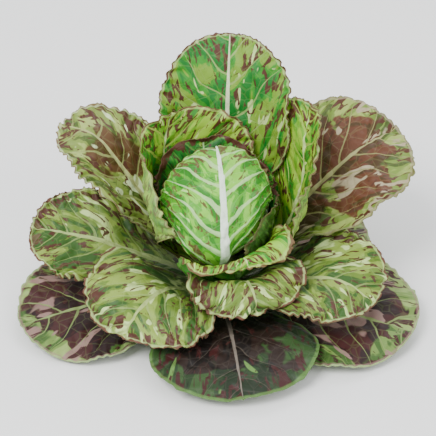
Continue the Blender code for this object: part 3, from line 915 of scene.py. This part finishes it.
def leaf_object(blade, corners):
    """The finished leaf as one closed mesh."""
    rows, columns = len(blade.rows), len(blade.columns)
    top, bottom, rim = strip_faces(rows, columns)
    flat, rim_flat = bake_map(rows, columns, len(rim))
    uv = np.concatenate([flat[top].reshape(-1, 2), flat[bottom].reshape(-1, 2), rim_flat.reshape(-1, 2)])
    made = mesh_object(blade.leaf.name + "_blade", corners, np.concatenate([top, bottom, rim]), uv)
    seed = np.full_like(blade.x, float(blade.seed))
    add_field(made, "place", both_sides(blade.x, blade.y, seed))
    add_field(made, "vein", both_sides(vein_turn(blade), vein_half_width(blade) / vein_spacing(blade),
                                       blade.x / midrib_half_width(blade)))
    trim = both_sides(blade.edge, blade.share, np.zeros_like(blade.x))
    trim[rows * columns :, 2] = 1
    add_field(made, "trim", trim)
    return made


def both_sides(*fields):
    """Three fields as one vector at each corner, the same on both sides of the leaf."""
    one = np.stack(fields, -1).reshape(-1, 3)
    return np.concatenate([one, one])


class Nodes:
    """One material while its nodes are being added. Each call returns the new node's output."""

    def __init__(self, name):
        self.material = bpy.data.materials.new(name)
        self.material.use_nodes = True
        self.tree = self.material.node_tree
        self.shader = self.tree.nodes["Principled BSDF"]

    def plug(self, socket, value):
        if isinstance(value, bpy.types.NodeSocket):
            self.tree.links.new(value, socket)
        else:
            socket.default_value = value

    def put(self, kind, inputs, output=0, **settings):
        node = self.tree.nodes.new(kind)
        for key, value in settings.items():
            setattr(node, key, value)
        for key, value in inputs.items():
            self.plug(node.inputs[key], value)
        return node.outputs[output]

    def math(self, operation, a, b=0.0):
        return self.put("ShaderNodeMath", {0: a, 1: b}, operation=operation)

    def step(self, value, start, end):
        """0 below start and 1 above end, smooth between them. start may be the larger one."""
        inputs = {"Value": value, "From Min": start, "From Max": end}
        return self.put("ShaderNodeMapRange", inputs, interpolation_type="SMOOTHSTEP")

    def mix(self, share, a, b):
        return self.put("ShaderNodeMix", {0: share, 6: a, 7: b}, 2, data_type="RGBA")

    def field(self, name):
        """The three parts of a field stored on the mesh."""
        vector = self.put("ShaderNodeAttribute", {}, "Vector", attribute_name=name)
        node = self.tree.nodes.new("ShaderNodeSeparateXYZ")
        self.tree.links.new(vector, node.inputs[0])
        return node.outputs[0], node.outputs[1], node.outputs[2]

    def vector(self, x, y, z=0.0):
        return self.put("ShaderNodeCombineXYZ", {0: x, 1: y, 2: z})

    def scaled(self, size, x, y, z=0.0):
        """A place in units of size. z is left as it is."""
        return self.vector(self.math("DIVIDE", x, size), self.math("DIVIDE", y, size), z)

    def noise(self, vector, detail=2.0, distortion=0.0):
        inputs = {"Vector": vector, "Scale": 1.0, "Detail": detail, "Distortion": distortion}
        return self.put("ShaderNodeTexNoise", inputs)

    def cells(self, vector):
        inputs = {"Vector": vector, "Scale": 1.0}
        return self.put("ShaderNodeTexVoronoi", inputs, feature="DISTANCE_TO_EDGE")

    def patches(self, noise, share, blur=0.018):
        """1 on about that share of the surface, in crisp patches of the noise."""
        raised = self.math("ADD", noise, self.math("MULTIPLY", share, 0.40))
        return self.step(raised, 0.73 - blur, 0.73 + blur)


def leaf_material(name, look):
    """Blade, veins, patches, specks and margin of one kind of leaf, with painted shade on its foot and a pale
    margin band that is partly a painted highlight.
    """
    n = Nodes(name)
    x, y, seed = n.field("place")
    turn, vein_width, rib = n.field("vein")
    edge, share, under = n.field("trim")
    shift = n.math("MULTIPLY", seed, 7.3)

    def along_veins(across_size, spacings, offset):
        place = n.math("DIVIDE", x, across_size * look.patch)
        turns = n.math("MULTIPLY", turn, spacings / look.patch)
        return n.vector(place, turns, n.math("ADD", shift, offset))

    inward = n.step(n.math("ABSOLUTE", x), 0.036, 0.0)
    tone = n.noise(along_veins(TONE_SIZE, 1.2, 0.0), 3.0, 0.7)
    tone = n.math("ADD", tone, n.math("MULTIPLY", n.math("SUBTRACT", inward, 0.5), look.inner_tone))
    base = n.mix(n.step(tone, 0.44, 0.47), colour(look.dark), colour(look.mid))
    base = n.mix(n.step(tone, 0.53, 0.56), base, colour(look.light))

    if look.stain_share:
        spread = n.noise(n.scaled(STAIN_SIZE, x, y, shift), 3.0, 0.4)
        inner = n.step(edge, 0.0, 0.028)
        spread = n.math("ADD", spread, n.math("MULTIPLY", n.math("SUBTRACT", inner, 0.5), 0.30))
        stained = n.mix(n.step(tone, 0.47, 0.50), colour(look.stain_dark), colour(look.stain))
        base = n.mix(n.patches(spread, look.stain_share), base, stained)

    pale = n.noise(along_veins(PALE_SIZE, 1.6, 3.7), 1.5, 0.6)
    base = n.mix(n.patches(pale, look.pale_share * 0.8), base, colour(look.pale))

    speckled = n.math("MULTIPLY", n.step(edge, 0.030, 0.004), 0.20)
    speckled = n.math("ADD", speckled, 0.45 * look.specks)
    speck = n.noise(along_veins(SPECK_SIZE / look.patch**0.6, 2.4 * look.patch**0.6, 8.1), 2.0, 0.9)
    base = n.mix(n.patches(speck, speckled), base, colour(look.speck))

    net = n.step(n.cells(n.scaled(NET_SIZE, x, y, shift)), 0.055, 0.02)
    base = n.mix(n.math("MULTIPLY", net, 0.12), base, colour(look.vein))
    beside = n.math("ABSOLUTE", n.math("SUBTRACT", n.math("FRACT", n.math("ADD", turn, 0.5)), 0.5))
    uneven = n.noise(n.scaled(VEIN_WEAR_SIZE, x, y, shift))
    uneven = n.math("MULTIPLY", n.math("SUBTRACT", uneven, 0.5), 1.4)
    vein = n.step(n.math("ADD", n.math("DIVIDE", beside, vein_width), uneven), 1.12, 0.82)
    base = n.mix(n.math("MULTIPLY", vein, look.vein_show), base, colour(look.vein))
    midrib = n.step(n.math("ADD", n.math("ABSOLUTE", rib), n.math("MULTIPLY", uneven, 0.35)), 1.12, 0.88)
    base = n.mix(midrib, base, colour(look.midrib))

    ragged = n.noise(n.scaled(RIM_WEAR_SIZE, x, y, shift))
    wander = n.math("MULTIPLY", n.math("SUBTRACT", ragged, 0.5), 4.0 * look.rim_width * MM)
    margin = n.math("ADD", edge, wander)
    # A pale band along the margin: partly the margin's own paler green, partly a painted highlight along the
    # edge.
    base = n.mix(n.math("MULTIPLY", n.step(edge, 2.6 * MM, 1.6 * MM), 0.55), base, colour(look.pale))
    base = n.mix(n.step(margin, 1.1 * look.rim_width * MM, 0.7 * look.rim_width * MM), base, colour(look.rim))

    # Painted shade: each leaf's foot is darkened towards a deep green, for the shade deep between the leaves.
    foot = n.math("MULTIPLY", n.step(share, look.painted_shade_from, 0.1), look.painted_shade)
    base = n.mix(foot, base, colour(PAINTED_SHADE_GREEN))
    base = n.mix(n.math("MULTIPLY", under, look.under_share), base, colour(look.under))
    n.plug(n.shader.inputs["Base Color"], base)

    grain = n.noise(n.scaled(GRAIN_SIZE, x, y, shift), 3.0)
    rough = n.put("ShaderNodeMapRange", {"Value": grain, "To Min": 0.40, "To Max": 0.66})
    n.plug(n.shader.inputs["Roughness"], rough)
    height = n.math("MULTIPLY", grain, 0.35)
    height = n.math("SUBTRACT", height, n.math("MULTIPLY", n.math("MAXIMUM", vein, midrib), 0.5))
    height = n.math("SUBTRACT", height, n.math("MULTIPLY", net, 0.35))
    bump = n.put("ShaderNodeBump", {"Strength": 0.5, "Distance": GRAIN_HEIGHT, "Height": height})
    n.plug(n.shader.inputs["Normal"], bump)
    n.plug(n.shader.inputs["Specular IOR Level"], 0.35)
    return n.material


def stem_material():
    """Pale flesh with long fibres, browner towards the cut face."""
    n = Nodes("stem_flesh")
    place = n.put("ShaderNodeTexCoord", {}, "Object")
    node = n.tree.nodes.new("ShaderNodeSeparateXYZ")
    n.tree.links.new(place, node.inputs[0])
    x, y, z = node.outputs
    fibre = n.noise(n.scaled(FIBRE_SIZE, x, y, n.math("DIVIDE", z, FIBRE_LENGTH)), 3.0)
    base = n.mix(n.step(fibre, 0.35, 0.65), colour(STEM_DARK), colour(STEM_PALE))
    blot = n.noise(n.scaled(BLOT_SIZE, x, y, n.math("DIVIDE", z, BLOT_SIZE)), 3.0)
    browned = n.math("MULTIPLY", n.step(z, 0.010, 0.0), n.step(blot, 0.35, 0.6))
    base = n.mix(n.math("MULTIPLY", browned, 0.75), base, colour(STEM_CUT))
    n.plug(n.shader.inputs["Base Color"], base)
    rough = n.put("ShaderNodeMapRange", {"Value": fibre, "To Min": 0.45, "To Max": 0.7})
    n.plug(n.shader.inputs["Roughness"], rough)
    bump = n.put("ShaderNodeBump", {"Strength": 0.5, "Distance": FIBRE_HEIGHT, "Height": fibre})
    n.plug(n.shader.inputs["Normal"], bump)
    return n.material


def stem_object():
    """The stem, turned finely, with shallow rings where leaves have grown and a ridged side."""
    heights = np.concatenate([[0], np.linspace(0.2 * MM, STEM_CHAMFER_HEIGHT, 5),
                              np.linspace(2.5 * MM, STEM_HEIGHT - STEM_CROWN, STEM_RINGS), [STEM_HEIGHT]])
    turn = np.linspace(0, 2 * math.pi, STEM_SIDES, endpoint=False)
    radii = stem_radius(heights)
    radii = radii - STEM_CHAMFER * (1 - smooth(heights / STEM_CHAMFER_HEIGHT)) ** 2
    radii[-1] *= STEM_CROWN_SHARE
    around, up = np.meshgrid(turn, heights)
    ridges = np.sin(11 * around + 40 * up / STEM_HEIGHT) * np.sin(300 * up) * smooth(up / (6 * MM))
    out = radii[:, None] - STEM_RIDGE + STEM_RIDGE * ridges
    corners = np.stack([out * np.cos(around), out * np.sin(around), up], -1).reshape(-1, 3)
    mesh = bpy.data.meshes.new("stem_flesh")
    count = len(turn)
    faces = []
    for i in range(len(heights) - 1):
        for j in range(count):
            k = (j + 1) % count
            faces.append((i * count + j, i * count + k, (i + 1) * count + k, (i + 1) * count + j))
    faces.append(tuple(reversed(range(count))))
    faces.append(tuple(range((len(heights) - 1) * count, len(heights) * count)))
    mesh.from_pydata(corners.tolist(), [], faces)
    mesh.shade_smooth()
    mesh.set_sharp_from_angle(angle=math.radians(50))
    made = add_object("stem_flesh", mesh)
    made.data.materials.append(stem_material())
    return made


# The view of the head: where it looks, from how far and how high up, and how wide it is there.
VIEW_TARGET = Vector((0, 0, 0.062))
VIEW_DISTANCE = 1.05
VIEW_ELEVATION = 33
VIEW_WIDTH = 0.305
VIEW_NEAREST = 0.01

# The floor, the sky, and the soft boxes: name, place, size in metres and power in watts.
FLOOR_HALF_WIDTH = 4
FLOOR_COLOUR = (0.95, 0.95, 0.94, 1)
FLOOR_ROUGHNESS = 0.8
SKY_COLOUR = (0.95, 0.97, 1, 1)
SKY_STRENGTH = 1.05
LIGHTS = (
    ("key", (-0.7, -0.9, 1.5), 0.8, 36),
    ("fill", (1.1, -0.8, 0.9), 0.9, 9),
    ("back", (0.3, 1.2, 1.2), 0.8, 10),
)


def aim(made, place):
    """Puts a camera or a light at a place, turned to the head."""
    made.location = place
    made.rotation_euler = (VIEW_TARGET - made.location).to_track_quat("-Z", "Y").to_euler()


def add_camera():
    """A camera before the head, looking down at it."""
    data = bpy.data.cameras.new("camera")
    made = add_object("camera", data)
    up = math.radians(VIEW_ELEVATION)
    aim(made, VIEW_TARGET + Vector((0, -math.cos(up), math.sin(up))) * VIEW_DISTANCE)
    data.lens = data.sensor_width * VIEW_DISTANCE / VIEW_WIDTH
    data.clip_start = VIEW_NEAREST
    bpy.context.scene.camera = made


def add_light(name, place, size, power):
    """A square soft box that looks at the head."""
    data = bpy.data.lights.new(name, "AREA")
    data.size = size
    data.energy = power
    aim(add_object(name, data), place)


def add_surroundings():
    """A pale floor, a pale sky and three soft boxes."""
    mesh = bpy.data.meshes.new("floor")
    w = FLOOR_HALF_WIDTH
    mesh.from_pydata([(-w, -w, 0), (w, -w, 0), (w, w, 0), (-w, w, 0)], [], [(0, 1, 2, 3)])
    floor = add_object("floor", mesh)
    n = Nodes("floor")
    n.plug(n.shader.inputs["Base Color"], FLOOR_COLOUR)
    n.plug(n.shader.inputs["Roughness"], FLOOR_ROUGHNESS)
    mesh.materials.append(n.material)
    world = bpy.data.worlds.new("sky")
    bpy.context.scene.world = world
    world.use_nodes = True
    world.node_tree.nodes["Background"].inputs["Color"].default_value = SKY_COLOUR
    world.node_tree.nodes["Background"].inputs["Strength"].default_value = SKY_STRENGTH
    for name, place, size, power in LIGHTS:
        add_light(name, place, size, power)


def main():
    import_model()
    faces = leaf_faces()
    laid, blades = [], []
    for number, leaf in enumerate(LEAVES + HEART):
        lift = lifted_clear(leaf, laid)
        laid.append(BVHTree.FromPolygons(leaf_skin(leaf, lift).tolist(), faces))
        blades.append(make_blade(leaf, lift, number))
    finishes = {name: leaf_material(name + "_leaf", look) for name, look in LOOKS.items()}
    for blade, corners in zip(blades, finished_skins(blades)):
        made = leaf_object(blade, corners)
        made.data.materials.append(finishes[look_name(blade.leaf)])
        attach(made, "root")
        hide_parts(blade.leaf.name)
    stem = stem_object()
    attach(stem, "root")
    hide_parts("stem")
    add_camera()
    add_surroundings()
    bpy.context.view_layer.update()


main()
